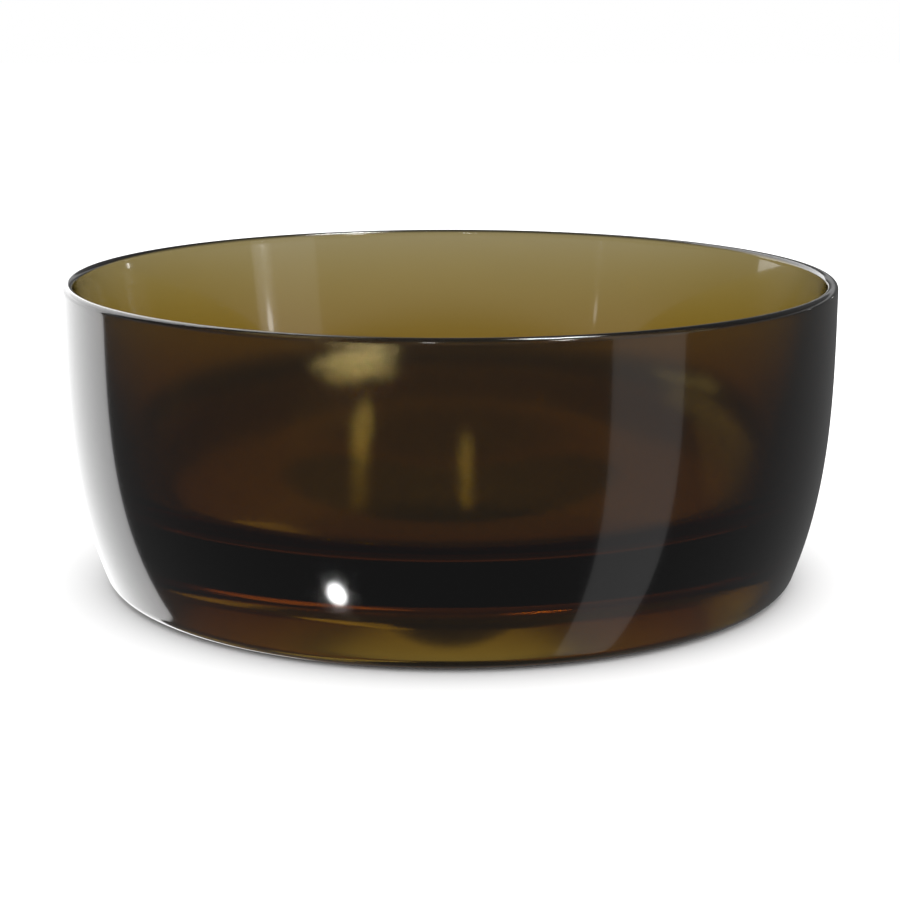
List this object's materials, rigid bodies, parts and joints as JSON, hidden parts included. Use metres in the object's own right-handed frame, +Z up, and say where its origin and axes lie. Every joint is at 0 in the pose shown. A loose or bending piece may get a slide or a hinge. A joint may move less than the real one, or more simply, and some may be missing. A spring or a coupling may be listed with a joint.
{
  "type": "bowl",
  "caption": "Round smoky-amber art glass bowl with a full-round lip, thickening wall, raised floor and a hollow underside.",
  "frame": {"origin": "centre of the foot ring's resting plane, on the bowl's axis", "axes": "+Z up along the bowl's axis of revolution; +X and +Y are any two square directions across the rim"},
  "size_m": [0.253, 0.253, 0.0995],
  "materials": {
    "smoky_amber_glass": "polished transparent glass, smoky amber, darker where thicker"
  },
  "bodies": {
    "root": {"glass_bowl": "smoky_amber_glass"}
  },
  "joints": []
}
